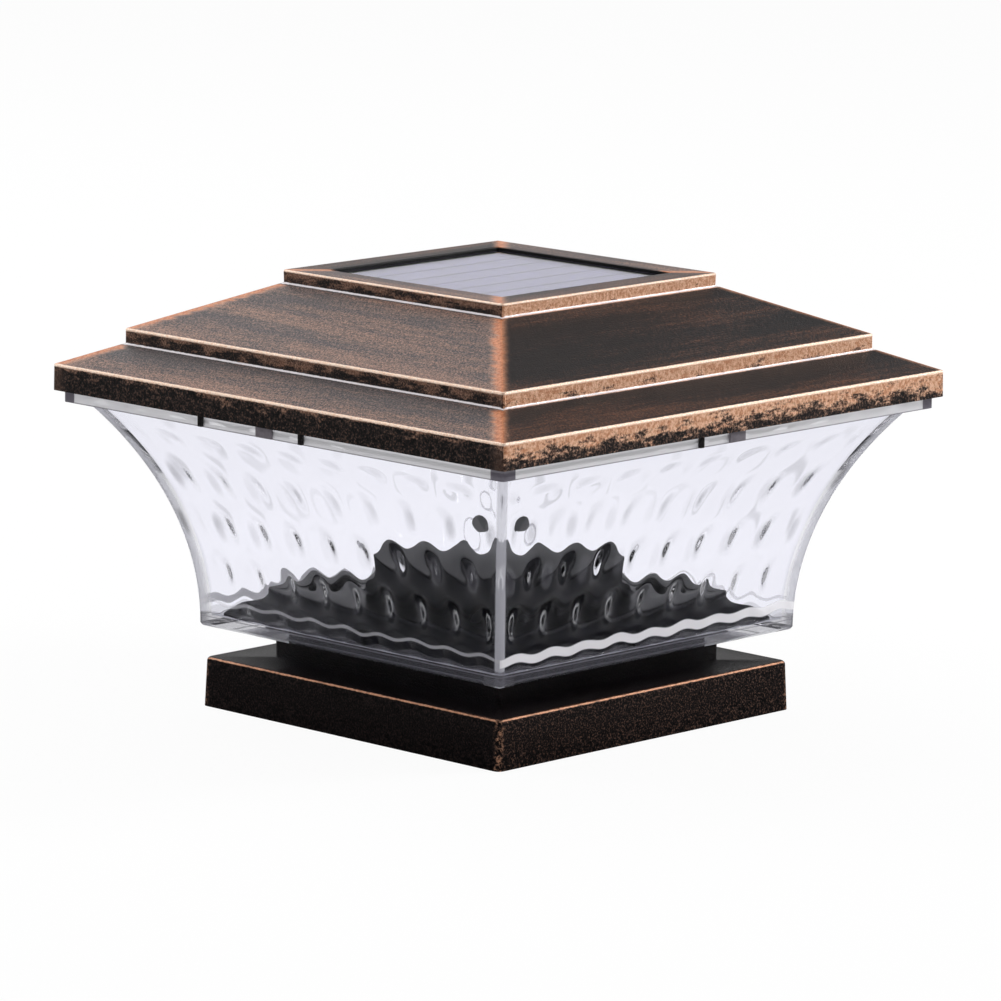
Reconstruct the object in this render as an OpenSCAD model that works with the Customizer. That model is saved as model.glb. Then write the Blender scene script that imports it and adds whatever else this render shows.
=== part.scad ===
// Solar post light with a stepped hip roof, a flared clear shade and a square base.
// The frame stands on Z = 0, with its axis on Z and its four faces square to X and Y.
// All sizes are in millimetres.

/* [Roof] */
// Side of the roof at its rim
roof_side = 150; // [146:1:160]
// Height of the rim's upright band
rim_h = 5.9; // [5:0.1:8]
// Side of the second tier
brow_side = 126; // [120:1:134]
// Height of the second tier's band
brow_h = 3.1; // [2:0.1:5]
// Side of the crown that frames the solar panel
crown_side = 73; // [70:1:78]
// Height of the crown's band
crown_h = 3.6; // [3:0.1:5]
// Slope of the roof's faces in degrees
roof_slope = 24.2; // [23:0.1:27]
// Wall of the roof moulding
roof_wall = 2.2; // [1.8:0.1:2.6]
// Radius of the roof's upright corners
roof_corner_r = 2.5; // [1:0.1:3.5]
// Radius of the roof's top edges
roof_edge_r = 0.8; // [0.4:0.1:1.2]

/* [Shade] */
// Side of the shade at its foot
shade_foot_side = 100.8; // [98:0.2:104]
// Height of the shade from its floor to the top of its flange
shade_h = 56.6; // [52:0.2:64]
// Wall of the shade
shade_wall = 2.6; // [2.2:0.1:3]
// Width of the lip that stands out at the top
flange_lip = 3.8; // [3:0.1:5]
// Thickness of the flange and of the floor ring
flange_t = 2.6; // [2:0.1:3]
// Number of relief columns across each face
relief_columns = 9; // [5:2:13]
// Height from one relief row to the next
relief_pitch = 12; // [10:0.5:15]
// Length of one relief drop
relief_len = 15.5; // [12:0.5:18]
// Depth of the relief drops
relief_depth = 1.25; // [0.4:0.05:1.4]

/* [Base] */
// Side of the base at its foot
base_side = 99.6; // [98:0.2:106]
// Height of the base skirt
base_h = 12; // [11:0.2:16]
// Side of the post that the socket is made for
post_side = 89; // [80:0.5:90]
// Side of the neck between the base and the shade
neck_side = 75.5; // [73:0.5:80]
// Height of the neck
neck_h = 7.6; // [6.5:0.2:10]
// Wall of the base and its neck
base_wall = 2.2; // [1.8:0.1:2.6]
// Radius of the post screw holes
post_screw_r = 2.2; // [1.8:0.1:2.6]
// Distance of the post screw holes from the centre lines
post_screw_pos = 26.6; // [25:0.2:27.4]

/* [Pedestal] */
// Side of the pedestal's skirt where it rests on the floor ring
skirt_foot_side = 89; // [86:0.5:91]
// Side of the pedestal's lower tier
tier_side = 78; // [76:0.5:82]
// Height of the lower tier above the floor ring
tier_h = 7; // [6:0.2:9]
// Side of the pedestal's upper tier
top_side = 43; // [38:0.5:46]
// Height of the upper tier above the lower one
top_h = 8.4; // [6:0.2:12]
// Wall of the pedestal
pedestal_wall = 2; // [1.6:0.1:2.4]

/* [Solar panel] */
// Side of the solar panel's board
panel_side = 56; // [50:0.5:58]
// Thickness of the panel's board
panel_board_t = 1.6; // [1:0.1:2]
// Thickness of the clear resin over the cells
panel_resin_t = 1.5; // [1:0.1:1.8]
// Number of cell strips on the panel
cell_count = 6; // [2:1:10]

/* [Lamp] */
// Thickness of the lamp plate under the roof
plate_t = 2.4; // [2:0.1:3]
// Radius of the round lens
lens_r = 16.8; // [14:0.2:18]
// Height of the reflector
reflector_h = 6.2; // [5:0.2:9]
// Number of LEDs on the ring
led_count = 4; // [3:1:6]

/* [Battery] */
// Diameter of the cell
battery_d = 14.2; // [13:0.1:14.6]
// Length of the cell with its button
battery_len = 50.5; // [46:0.5:52]
// Distance of the battery bay from the middle
battery_y = 32; // [30:0.5:34]

/* [Control board] */
// Length of the control board
board_len = 44; // [42:0.5:48]
// Width of the control board
board_w = 24; // [23:0.5:26]
// Thickness of the control board
board_t = 1.6; // [1:0.1:2]
// Travel of the slide switch
switch_travel = 4; // [3:0.1:5]

/* [Hidden] */

$fn = 48;
cut = 1;                    // how far a cutting tool runs past the surface it cuts
run_gap = 0.3;              // clearance of parts that slide or lift off
fit_gap = 0.2;              // clearance of parts that are screwed or glued in place
corner_steps = 4;           // steps round an upright corner
edge_steps = 3;             // steps round an eased edge

// Heights of the stack, from the ground up
plate_z = base_h - base_wall;
shade_z = base_h + neck_h;
floor_z = shade_z + flange_t;
shade_top_z = shade_z + shade_h;
flange_z = shade_top_z - flange_t;
roof_z = shade_top_z + fit_gap;
rim_z = roof_z + rim_h;
brow_z = rim_z + (roof_side - brow_side) / 2 * tan(roof_slope);
brow_top_z = brow_z + brow_h;
crown_z = brow_top_z + (brow_side - crown_side) / 2 * tan(roof_slope);
roof_top_z = crown_z + crown_h;

// Roof
roof_inner_side = roof_side - 2 * roof_wall;
wall_drop = roof_wall * (1 - sin(roof_slope)) / cos(roof_slope);
panel_recess = 1.4;
pocket_side = panel_side + 4 * run_gap;
pocket_z = roof_top_z - panel_recess - panel_resin_t - panel_board_t;
pocket_r = 0.6;
ledge_t = 2;
tray_side = pocket_side + 2 * ledge_t;
wire_hole_r = 3.5;
wire_hole_y = -14;
boss_r = 4;
boss_pos = roof_side / 2 - 19;
boss_top_z = brow_top_z + (brow_side / 2 - boss_pos - boss_r) * tan(roof_slope) - roof_wall / 4;
roof_screw_bite = 8;
cell_t = 0.3;
cell_margin = 2;
cell_gap = 0.6;
cells_side = panel_side - 2 * cell_margin;
cell_w = (cells_side - (cell_count - 1) * cell_gap) / cell_count;
clip_w = 1.5;
clip_t = 0.9;
clip_places = [-31, 2.6];

// Shade
flange_side = roof_side - 3.6;
mouth_side = flange_side - 2 * flange_lip;
foot_chamfer = 0.8;
flare_z = shade_z + foot_chamfer;
flare_h = flange_z - flare_z;
flare = (mouth_side - shade_foot_side) / 2;
flare_r = (flare_h * flare_h + flare * flare) / (2 * flare);
flare_steps = 9;
plug_side = neck_side - 2 * base_wall - 6;
opening_side = plug_side + 2 * run_gap;
relief_margin = 2.5;
relief_low_z = floor_z + relief_margin;
relief_high_z = shade_top_z - relief_margin;
relief_first_z = floor_z + 11;
relief_rows = 16;
relief_steps = 4;           // grid steps across one relief column

// Base
socket_side = post_side + 4.6;
rib_t = 1.2;
rib_h = (socket_side - post_side) / 2 - 0.7;
rib_places = [-25, 25];
base_draft = 0.4;
base_corner_r = 1.5;
base_edge_r = 0.8;
tower_pos = 13;
tower_r = 5;
tower_h = 4;
tower_seat = 3.2;
pedestal_screw_len = 11;

// Screws: head radius, head height, shank radius
screw_head_r = 2.8;
screw_head_h = 2.2;
screw_r = 1.4;
pilot_r = screw_r + 0.1;
screw_hole_r = screw_r + 0.3;
head_hole_r = screw_head_r + 0.4;

// Pedestal
pedestal_top_z = floor_z + tier_h + top_h;
tier_z = floor_z + tier_h;
skirt_rise = (skirt_foot_side - tier_side) / 2;
well_r = 6;
well_seat_r = 4.5;
well_floor = 3;
post_r = 3.5;
pedestal_pilot_z = plate_z + tower_seat + pedestal_screw_len + 1;
tab_w = 4.7;
tab_h = 2.9;

// Lamp plate and what hangs on it
plate_side = roof_inner_side - 2 * run_gap;
plate_top_z = roof_z + plate_t;
half_plate = plate_t / 2;
lens_lip = 1.3;
reflector_flange_r = lens_r + 3.2;
reflector_wall = 1.2;
led_board_r = 10;
led_board_z = plate_top_z + reflector_h;
led_ring_r = 4.4;
led_size = 3;
led_h = 1.2;

// Battery bay
bay_wall = 1.4;
bay_w = battery_d + 1.6;
contact_t = 0.4;
contact_size = 11;
spring_len = 3.9;
bay_len = battery_len + spring_len + 2 * contact_t;
door_t = half_plate;
door_len = bay_len + 18.4;
door_w = bay_w + 3.4;
door_screw_x = bay_len / 2 + 5.6;
door_screw_bite = 6;
door_screw_z = plate_top_z + door_screw_bite;
battery_z = roof_z + door_t + run_gap + battery_d / 2;
bay_top_z = battery_z + battery_d / 2 + 1.6;
lead_hole_z = battery_z + 3;

// Control board
board_y = -36;
board_post_h = 4.1;
board_z = plate_top_z + board_post_h;
board_top_z = board_z + board_t;
board_post_r = 3;
board_post_x = board_len / 2 - 4;
board_post_y = board_w / 2 - 4;
small_screw_r = 0.9;
small_head_r = 2.2;
small_head_h = 1.6;
slider_len = 3.2;
slider_w = 2.8;
slider_drop = 1.4;
slider_y = board_y + 2;
switch_len = 10;
switch_w = 5;
channel_h = 1.9;

// Leads: radius, and points along each route, which runs from piece to piece inside the roof
lead_r = 0.7;
lead_sides = 8;
panel_lead_route = [
    [1.5, wire_hole_y, pocket_z], [1.5, wire_hole_y, pocket_z - 4], [4, -17, board_top_z + 9.5],
    [8, -23, board_top_z + 7.5], [9, -28, board_top_z + 4.5], [9, -28, board_top_z]
];
led_lead_route = [
    [3, 0, led_board_z + board_t], [3, 0, led_board_z + 5], [3, -7, board_top_z + 6.5],
    [3, -18, board_top_z + 6.5], [2.5, -27, board_top_z + 5.5], [2.5, -28, board_top_z + 3],
    [2.5, -28, board_top_z]
];
battery_lead_route = [
    [bay_len / 2, battery_y, lead_hole_z], [bay_len / 2 + 3, battery_y, lead_hole_z],
    [34, battery_y - 3, board_top_z + 2.5], [34, 12, board_top_z + 0.5], [31, -8, board_top_z + 1.5],
    [24, -21, board_top_z + 4.5], [15, -27, board_top_z + 5.5], [13.5, -28, board_top_z + 3],
    [13.5, -28, board_top_z]
];

// Points of a square ring with round corners, anticlockwise from above
function round_square(side, r, z) = [
    for (quarter = [0 : 3], step = [0 : corner_steps])
        let (
            turn = 90 * quarter + 90 * step / corner_steps,
            centre = side / 2 - r,
            x = quarter == 0 || quarter == 3 ? centre : -centre,
            y = quarter < 2 ? centre : -centre
        )
        [x + r * cos(turn), y + r * sin(turn), z]
];

// Solid that follows a profile of [side, height, corner radius] rings round the axis.
// The profile keeps its material on its left, and its first and last rings are closed.
module square_loft(profile) {
    count = 4 * (corner_steps + 1);
    last = (len(profile) - 1) * count;
    points = [for (ring = profile) each round_square(ring[0], ring[2], ring[1])];
    walls = [
        for (k = [0 : len(profile) - 2], i = [0 : count - 1])
            let (low = k * count, high = low + count, j = (i + 1) % count)
            [low + i, high + i, high + j, low + j]
    ];
    first_cap = [for (i = [0 : count - 1]) i];
    last_cap = [for (i = [count - 1 : -1 : 0]) last + i];
    polyhedron(points, concat([first_cap], walls, [last_cap]));
}

// Rings of an eased outer top edge, from the upright wall to a face of the given slope
function eased_edge(side, top, r, corner, slope) = [
    for (step = [0 : edge_steps])
        let (turn = (90 - slope) * step / edge_steps)
        [side - 2 * r * (1 - cos(turn)), top - r * (1 - sin(turn)), corner]
];

// A square tube or block, centred, with sharp corners
module block(side, low, high) {
    translate([-side / 2, -side / 2, low])
        cube([side, side, high - low]);
}

module disc(r, low, high) {
    translate([0, 0, low])
        cylinder(r = r, h = high - low);
}

module at_corners(pos) {
    for (x = [-pos, pos], y = [-pos, pos])
        translate([x, y, 0])
            children();
}

// A round-headed screw that points up from the underside of its seat
module screw(seat, length) {
    disc(screw_head_r, seat - screw_head_h, seat);
    disc(screw_r, seat - 0.01, seat + length);
}

// One tube through a list of points, with flat ends square to its first and last leg
function spline(a, b, c, d, t) =
    0.5 * (2 * b + (c - a) * t + (2 * a - 5 * b + 4 * c - d) * t * t
        + (3 * b - a - 3 * c + d) * t * t * t);

function smooth_route(route, steps) =
    let (
        last = len(route) - 1,
        ends = concat([2 * route[0] - route[1]], route, [2 * route[last] - route[last - 1]])
    )
    concat(
        [for (k = [0 : last - 1], s = [0 : steps - 1])
            spline(ends[k], ends[k + 1], ends[k + 2], ends[k + 3], s / steps)],
        [route[last]]
    );

function unit(v) = v / norm(v);

module tube_along(path, r, sides, start_dir, end_dir, across) {
    last = len(path) - 1;
    points = [
        for (k = [0 : last])
            let (
                ahead = k == 0 ? start_dir
                    : k == last ? end_dir
                    : unit(path[k + 1] - path[k - 1]),
                side = unit(cross(ahead, across)),
                up = cross(side, ahead)
            )
            for (i = [0 : sides - 1])
                path[k] + r * cos(360 * i / sides) * side + r * sin(360 * i / sides) * up
    ];
    walls = [
        for (k = [0 : last - 1], i = [0 : sides - 1])
            let (near = k * sides, far = near + sides, j = (i + 1) % sides)
            each [[near + i, near + j, far + j], [near + i, far + j, far + i]]
    ];
    near_cap = [for (i = [sides - 1 : -1 : 0]) i];
    far_cap = [for (i = [0 : sides - 1]) last * sides + i];
    polyhedron(points, concat([near_cap], walls, [far_cap]));
}

module lead(route) {
    last = len(route) - 1;
    tube_along(smooth_route(route, 3), lead_r, lead_sides,
        unit(route[1] - route[0]), unit(route[last] - route[last - 1]), [0.3, 1, 0.2]);
}

// Skirt, plate and neck of the base in one moulding
module base() {
    inner = socket_side;
    skirt = base_side - 2 * base_draft;
    neck_inner = neck_side - 2 * base_wall;
    profile = concat(
        [
            [inner, plate_z, 0.5],
            [inner, 0, 0.5],
            [base_side, 0, base_corner_r]
        ],
        eased_edge(skirt, base_h, base_edge_r, base_corner_r, 0),
        [
            [neck_side, base_h, base_corner_r],
            [neck_side, shade_z, base_corner_r],
            [neck_inner, shade_z, 0.5],
            [neck_inner, base_h, 0.5]
        ]
    );
    color([0.16, 0.1, 0.07])
        difference() {
            union() {
                square_loft(profile);
                for (turn = [0 : 90 : 270], x = rib_places)
                    rotate([0, 0, turn])
                        translate([x - rib_t / 2, socket_side / 2 - rib_h, 0])
                            cube([rib_t, rib_h + base_wall / 2, plate_z + base_wall / 2]);
                at_corners(tower_pos)
                    disc(tower_r, base_h - base_wall / 2, base_h + tower_h);
            }
            at_corners(tower_pos) {
                disc(head_hole_r, plate_z - cut, plate_z + tower_seat);
                disc(screw_hole_r, plate_z, base_h + tower_h + cut);
            }
            at_corners(post_screw_pos)
                disc(post_screw_r, plate_z - cut, base_h + cut);
        }
}

// Stepped hollow cover that holds the shade down on the neck
module pedestal() {
    top_inner = top_side - 2 * pedestal_wall;
    tier_inner = tier_side - 2 * pedestal_wall;
    foot_inner = skirt_foot_side - 3 * pedestal_wall;
    slope_z = floor_z + skirt_rise;
    plug_z = base_h + run_gap;
    profile = [
        [top_inner, pedestal_top_z - pedestal_wall, 0.5],
        [top_inner, tier_z - pedestal_wall, 0.5],
        [tier_inner, tier_z - pedestal_wall, 0.5],
        [tier_inner, slope_z - pedestal_wall / 2, 0.5],
        [foot_inner, floor_z, 0.5],
        [skirt_foot_side, floor_z, 1],
        [skirt_foot_side, floor_z + 0.6, 1],
        [tier_side, slope_z, 1],
        [tier_side, tier_z - 0.5, 1],
        [tier_side - 1, tier_z, 1],
        [top_side, tier_z, 1],
        [top_side, pedestal_top_z - 0.5, 1],
        [top_side - 1, pedestal_top_z, 1]
    ];
    tab_reach = (shade_foot_side - 2 * shade_wall) / 2 - 2 * run_gap;
    color([0.08, 0.08, 0.09])
        difference() {
            union() {
                square_loft(profile);
                difference() {
                    block(plug_side, plug_z, tier_z - pedestal_wall / 2);
                    block(plug_side - 2 * pedestal_wall, plug_z - cut, tier_z);
                }
                at_corners(post_screw_pos)
                    disc(well_r, base_h + run_gap, tier_z - pedestal_wall / 2);
                at_corners(tower_pos)
                    disc(post_r, base_h + tower_h + fit_gap, pedestal_top_z - pedestal_wall / 2);
                for (turn = [0 : 90 : 270])
                    rotate([0, 0, turn])
                        translate([-tab_w / 2, skirt_foot_side / 2 - 1.6, floor_z])
                            cube([tab_w, tab_reach - skirt_foot_side / 2 + 1.6, tab_h]);
            }
            at_corners(post_screw_pos) {
                disc(well_seat_r, base_h + run_gap + well_floor, tier_z + cut);
                disc(post_screw_r, base_h - cut, tier_z);
            }
            at_corners(tower_pos)
                disc(pilot_r, base_h, pedestal_pilot_z);
        }
}

module pedestal_screws() {
    color([0.6, 0.6, 0.62])
        at_corners(tower_pos)
            screw(plate_z + tower_seat, pedestal_screw_len);
}

// Half-side of the shade's outer and inner face at a height
function flare_half(z, wall) =
    let (rise = min(max(z - flare_z, 0), flare_r))
    shade_foot_side / 2 + flare_r - sqrt(pow(flare_r + wall, 2) - rise * rise);

// One relief drop: 1 at its middle, 0 past its ends
function drop(offset) = abs(offset) < 1 ? pow(cos(90 * offset), 2) : 0;

// Depth of the relief at a place across the face (-1 to 1) and a height.
// Odd rows stand half a column to the side of even rows.
function relief(across, z, half) =
    let (
        column = 90 * relief_columns * across,
        row = (z - relief_first_z) / relief_pitch,
        reach = relief_len / 2 / relief_pitch,
        even_row = 2 * round(row / 2),
        odd_row = 2 * round((row - 1) / 2) + 1,
        corner_fade = min(1, (1 - abs(across)) * half / 4),
        low_fade = min(1, max(0, (z - relief_low_z) / relief_margin)),
        high_fade = min(1, max(0, (relief_high_z - z) / relief_margin))
    )
    relief_depth * corner_fade * low_fade * high_fade
        * (pow(cos(column), 2) * drop((row - even_row) / reach)
            + pow(sin(column), 2) * drop((row - odd_row) / reach));

// Clear moulding: floor ring, flared walls with relief inside, and a flange
module shade() {
    foot = shade_foot_side / 2;
    relief_cells = relief_columns * relief_steps;
    // Each ring is [half-side, height, points on each face]
    rings = concat(
        [
            [opening_side / 2, shade_z, 1],
            [foot - foot_chamfer, shade_z, 1]
        ],
        [for (k = [0 : flare_steps])
            let (z = flare_z + flare_h * k / flare_steps)
            [flare_half(z, 0), z, 1]],
        [
            [flange_side / 2, flange_z, 1],
            [flange_side / 2, shade_top_z, 1],
            [flare_half(shade_top_z, shade_wall), shade_top_z, 1]
        ],
        [for (k = [0 : relief_rows])
            let (z = relief_high_z - (relief_high_z - relief_low_z) * k / relief_rows)
            [flare_half(z, shade_wall), z, relief_cells]],
        [
            [flare_half(floor_z, shade_wall), floor_z, 1],
            [opening_side / 2, floor_z, 1]
        ]
    );
    count = len(rings);
    starts = [for (k = 0, s = 0; k <= count; s = s + 4 * (k < count ? rings[k][2] : 0), k = k + 1) s];
    points = [
        for (ring = rings, face = [0 : 3], i = [0 : ring[2] - 1])
            let (
                across = -1 + 2 * i / ring[2],
                out = ring[0] - (i == 0 ? 0 : relief(across, ring[1], ring[0])),
                along = across * ring[0]
            )
            [
                along * cos(90 * face) + out * sin(90 * face),
                along * sin(90 * face) - out * cos(90 * face),
                ring[1]
            ]
    ];
    faces = [
        for (k = [0 : count - 1])
            let (
                next = (k + 1) % count,
                near = starts[k],
                far = starts[next],
                near_n = rings[k][2],
                far_n = rings[next][2]
            )
            each [
                for (face = [0 : 3])
                    let (
                        a = [for (i = [0 : near_n]) near + (face * near_n + i) % (4 * near_n)],
                        b = [for (i = [0 : far_n]) far + (face * far_n + i) % (4 * far_n)]
                    )
                    each near_n < far_n ? [concat([a[0]], b, [a[1]])]
                        : near_n > far_n ? [concat(b, [for (i = [near_n : -1 : 0]) a[i]])]
                        : [for (i = [0 : near_n - 1])
                            each [[a[i], b[i], b[i + 1]], [a[i], b[i + 1], a[i + 1]]]]
            ]
    ];
    color([0.88, 0.88, 0.95, 0.45])
        polyhedron(points, faces);
}

// Hollow stepped roof with its panel pocket, screw bosses and clip ribs
module roof_shell() {
    top_inner = crown_side - 2 * roof_wall;
    brow_inner = brow_side - 2 * roof_wall;
    inner_r = max(roof_corner_r - roof_wall, 0.5);
    profile = concat(
        [
            [tray_side, pocket_z - ledge_t, 0.8],
            [tray_side, roof_top_z - roof_wall, 0.8],
            [top_inner, roof_top_z - roof_wall, inner_r],
            [top_inner, crown_z - wall_drop, inner_r],
            [brow_inner, brow_top_z - wall_drop, inner_r],
            [brow_inner, brow_z - wall_drop, inner_r],
            [roof_inner_side, rim_z - wall_drop, inner_r],
            [roof_inner_side, roof_z, inner_r],
            [roof_side, roof_z, roof_corner_r]
        ],
        eased_edge(roof_side, rim_z, roof_edge_r, roof_corner_r, roof_slope),
        [[brow_side, brow_z, roof_corner_r]],
        eased_edge(brow_side, brow_top_z, roof_edge_r, roof_corner_r, roof_slope),
        [[crown_side, crown_z, roof_corner_r]],
        eased_edge(crown_side, roof_top_z, roof_edge_r, roof_corner_r, 0),
        [
            [pocket_side, roof_top_z, pocket_r],
            [pocket_side, pocket_z, pocket_r]
        ]
    );
    clip_out = flange_side / 2 + run_gap;
    color([0.45, 0.27, 0.17])
        difference() {
            union() {
                square_loft(profile);
                at_corners(boss_pos)
                    disc(boss_r, plate_top_z, boss_top_z);
                for (turn = [0, 90, 180, 270], x = clip_places)
                    rotate([0, 0, turn])
                        translate([(turn % 180 == 0 ? x : -x) - clip_w / 2, -clip_out - clip_t, flange_z + fit_gap])
                            cube([clip_w, clip_t, roof_z + rim_h / 4 - flange_z - fit_gap]);
            }
            at_corners(boss_pos)
                disc(pilot_r, plate_top_z - cut, plate_top_z + roof_screw_bite + 1);
            translate([0, wire_hole_y, 0])
                disc(wire_hole_r, pocket_z - ledge_t - cut, pocket_z + cut);
        }
}

module panel_board() {
    color([0.1, 0.16, 0.12])
        block(panel_side, pocket_z, pocket_z + panel_board_t);
}

module cell_strips(grow) {
    for (k = [0 : cell_count - 1])
        translate([
            -cells_side / 2 + k * (cell_w + cell_gap) - grow,
            -cells_side / 2 - grow,
            pocket_z + panel_board_t
        ])
            cube([cell_w + 2 * grow, cells_side + 2 * grow, cell_t + grow]);
}

module solar_cells() {
    color([0.2, 0.2, 0.32])
        cell_strips(0);
}

module panel_resin() {
    resin_z = pocket_z + panel_board_t;
    color([0.72, 0.72, 0.82, 0.5])
        difference() {
            block(panel_side, resin_z, resin_z + panel_resin_t);
            cell_strips(0.05);
        }
}

module panel_sealant() {
    side = pocket_side - fit_gap;
    color([0.3, 0.3, 0.32])
        difference() {
            square_loft([
                [side, pocket_z, pocket_r],
                [side, pocket_z + panel_board_t + panel_resin_t / 2, pocket_r]
            ]);
            block(panel_side + 0.1, pocket_z - cut, roof_top_z);
        }
}

// Black plate that closes the roof and carries the lamp, the cell and the board
module lamp_plate() {
    bay_out_len = bay_len + 2 * bay_wall;
    bay_out_w = bay_w + 2 * bay_wall;
    corner = max(roof_corner_r - roof_wall, 0.5);
    slot_len = slider_len + switch_travel + 0.8;
    color([0.07, 0.07, 0.08])
        difference() {
            union() {
                translate([0, 0, roof_z])
                    linear_extrude(plate_t)
                        difference() {
                            square(plate_side, center = true);
                            for (x = [-1, 1], y = [-1, 1])
                                translate([x, y] * plate_side / 2)
                                    rotate(45)
                                        square(corner * 2, center = true);
                        }
                translate([-bay_out_len / 2, battery_y - bay_out_w / 2, roof_z])
                    cube([bay_out_len, bay_out_w, bay_top_z + bay_wall - roof_z]);
                for (x = [-door_screw_x, door_screw_x])
                    translate([x, battery_y, 0])
                        disc(3.2, roof_z, door_screw_z);
                for (side = [-1, 1])
                    translate([side * board_post_x, board_y - side * board_post_y, 0])
                        disc(board_post_r, roof_z, board_z);
            }
            disc(lens_r - lens_lip, roof_z - cut, plate_top_z + cut);
            disc(lens_r + fit_gap, roof_z + half_plate / 2, plate_top_z + cut);
            translate([-bay_len / 2, battery_y - bay_w / 2, roof_z - cut])
                cube([bay_len, bay_w, bay_top_z - roof_z + cut]);
            translate([-door_len / 2 - fit_gap, battery_y - door_w / 2 - fit_gap, roof_z - cut])
                cube([door_len + 2 * fit_gap, door_w + 2 * fit_gap, door_t + cut]);
            for (x = [-door_screw_x, door_screw_x])
                translate([x, battery_y, 0])
                    disc(small_screw_r + 0.1, roof_z, door_screw_z - 1);
            for (side = [-1, 1])
                translate([side * board_post_x, board_y - side * board_post_y, 0])
                    disc(small_screw_r + 0.1, plate_top_z - 0.4, board_z + cut);
            at_corners(boss_pos) {
                disc(head_hole_r, roof_z - cut, roof_z + half_plate);
                disc(screw_hole_r, roof_z, plate_top_z + cut);
            }
            translate([-slot_len / 2, slider_y - slider_w / 2 - run_gap, roof_z - cut])
                cube([slot_len, slider_w + 2 * run_gap, plate_t + 2 * cut]);
            translate([-bay_out_len / 2 - cut, battery_y, lead_hole_z])
                rotate([0, 90, 0])
                    cylinder(r = lead_r + 0.2, h = bay_out_len + 2 * cut, $fn = 24);
        }
}

module lamp_plate_screws() {
    color([0.6, 0.6, 0.62])
        at_corners(boss_pos) {
            disc(screw_head_r, roof_z + 0.1, roof_z + half_plate);
            disc(screw_r, roof_z + half_plate - 0.01, plate_top_z + roof_screw_bite);
        }
}

module reflector() {
    top = led_board_z;
    throat = led_board_r - 1.5;
    color([0.85, 0.85, 0.87])
        rotate_extrude()
            polygon([
                [lens_r - 0.2, plate_top_z],
                [reflector_flange_r, plate_top_z],
                [reflector_flange_r, plate_top_z + reflector_wall],
                [lens_r + reflector_wall - 0.2, plate_top_z + reflector_wall],
                [throat + reflector_wall, top],
                [throat, top]
            ]);
}

module led_board() {
    color([0.9, 0.9, 0.88])
        disc(led_board_r, led_board_z, led_board_z + board_t);
}

module leds() {
    color([0.95, 0.85, 0.4])
        for (k = [0 : led_count - 1])
            rotate([0, 0, 45 + 360 * k / led_count])
                translate([led_ring_r - led_size / 2, -led_size / 2, led_board_z - led_h])
                    cube([led_size, led_size, led_h]);
}

// Frosted disc that drops into its seat, with a shallow dome below the plate
module led_lens() {
    seat = roof_z + half_plate / 2;
    face = lens_r - lens_lip - fit_gap;
    color([0.92, 0.92, 0.95, 0.7])
        rotate_extrude()
            polygon([
                [0, roof_z - 1],
                [face * 0.6, roof_z - 0.7],
                [face, roof_z],
                [face, seat],
                [lens_r, seat],
                [lens_r, plate_top_z - fit_gap],
                [0, plate_top_z - fit_gap]
            ]);
}

module battery_door() {
    color([0.09, 0.09, 0.1])
        difference() {
            translate([-door_len / 2, battery_y - door_w / 2, roof_z])
                cube([door_len, door_w, door_t - 0.1]);
            for (x = [-door_screw_x, door_screw_x])
                translate([x, battery_y, 0])
                    disc(small_screw_r + 0.2, roof_z - cut, roof_z + door_t + cut);
            for (k = [-2 : 2])
                translate([k * 3 - 0.5, battery_y - door_w / 4, roof_z - cut])
                    cube([1, door_w / 2, cut + 0.4]);
        }
}

module battery_door_screws() {
    color([0.6, 0.6, 0.62])
        for (x = [-door_screw_x, door_screw_x])
            translate([x, battery_y, 0]) {
                disc(small_head_r, roof_z - small_head_h / 2, roof_z);
                disc(small_screw_r, roof_z - 0.01, roof_z + door_screw_bite);
            }
}

// Rechargeable cell with its button towards +X
module battery() {
    button_len = 1;
    button_r = 2.75;
    edge = 0.6;
    r = battery_d / 2;
    body_len = battery_len - button_len;
    color([0.25, 0.55, 0.3])
        translate([bay_len / 2 - contact_t, battery_y, battery_z])
            rotate([0, -90, 0])
                rotate_extrude()
                    polygon([
                        [0, 0],
                        [button_r, 0],
                        [button_r, button_len],
                        [r - edge, button_len],
                        [r, button_len + edge],
                        [r, button_len + body_len - edge],
                        [r - edge, button_len + body_len],
                        [0, button_len + body_len]
                    ]);
}

module battery_contacts() {
    color([0.8, 0.78, 0.7])
        for (side = [-1, 1])
            translate([
                side * (bay_len / 2 - contact_t / 2) - contact_t / 2,
                battery_y - contact_size / 2,
                battery_z - contact_size / 2
            ])
                cube([contact_t, contact_size, contact_size]);
}

// Cone spring behind the flat end of the cell
module battery_spring() {
    turns = 3;
    wire_r = 0.35;
    start_r = 4.5;
    end_r = 2.6;
    steps = 10;
    start_x = -bay_len / 2 + contact_t + wire_r + 0.02;
    length = spring_len - 2 * wire_r - 0.04;
    path = [
        for (k = [0 : turns * steps])
            let (
                share = k / (turns * steps),
                turn = 360 * k / steps,
                r = start_r + (end_r - start_r) * share
            )
            [start_x + length * share, battery_y + r * cos(turn), battery_z + r * sin(turn)]
    ];
    color([0.8, 0.8, 0.82])
        tube_along(path, wire_r, 6, [0, 0, 1], [0, 0, 1], [1, 0, 0]);
}

module control_board() {
    color([0.1, 0.4, 0.22])
        difference() {
            translate([-board_len / 2, board_y - board_w / 2, board_z])
                cube([board_len, board_w, board_t]);
            for (side = [-1, 1])
                translate([side * board_post_x, board_y - side * board_post_y, 0])
                    disc(small_screw_r + 0.3, board_z - cut, board_top_z + cut);
        }
}

module board_screws() {
    color([0.6, 0.6, 0.62])
        for (side = [-1, 1])
            translate([side * board_post_x, board_y - side * board_post_y, 0]) {
                disc(small_head_r, board_top_z, board_top_z + small_head_h);
                disc(small_screw_r, plate_top_z, board_top_z + 0.01);
            }
}

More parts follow.
